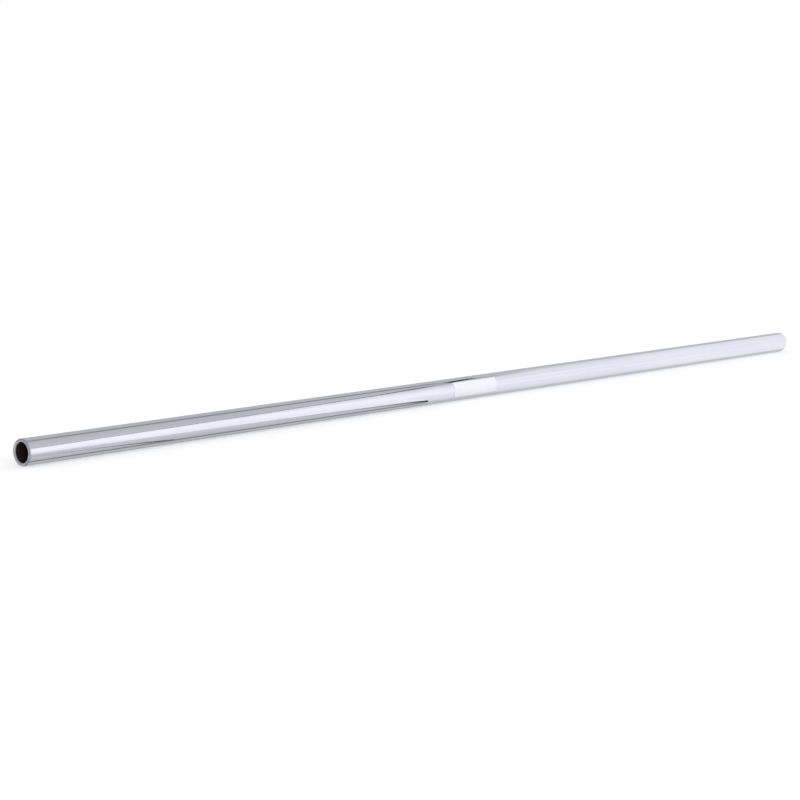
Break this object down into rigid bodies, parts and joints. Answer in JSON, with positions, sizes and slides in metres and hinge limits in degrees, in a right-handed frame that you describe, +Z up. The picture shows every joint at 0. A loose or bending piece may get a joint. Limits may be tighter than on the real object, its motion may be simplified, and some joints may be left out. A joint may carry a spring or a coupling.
{
  "type": "straight supply tube",
  "caption": "Straight round chrome-plated supply tube, open at each end, with rolled-in rims and a small blank label. Joins a tap or cistern to its angle valve.",
  "frame": {"origin": "on the surface the tube lies on, below the middle of its length", "axes": "+X along the tube's axis towards the end farther from the camera in the picture, +Y away from the labelled side, +Z up"},
  "size_m": [0.5, 0.0101, 0.01],
  "materials": {
    "chrome": "polished chrome plating over copper, bare copper inside the bore",
    "label_film": "blank white adhesive film, semi-gloss"
  },
  "bodies": {
    "root": {"tube": "chrome", "label": "label_film"}
  },
  "joints": []
}
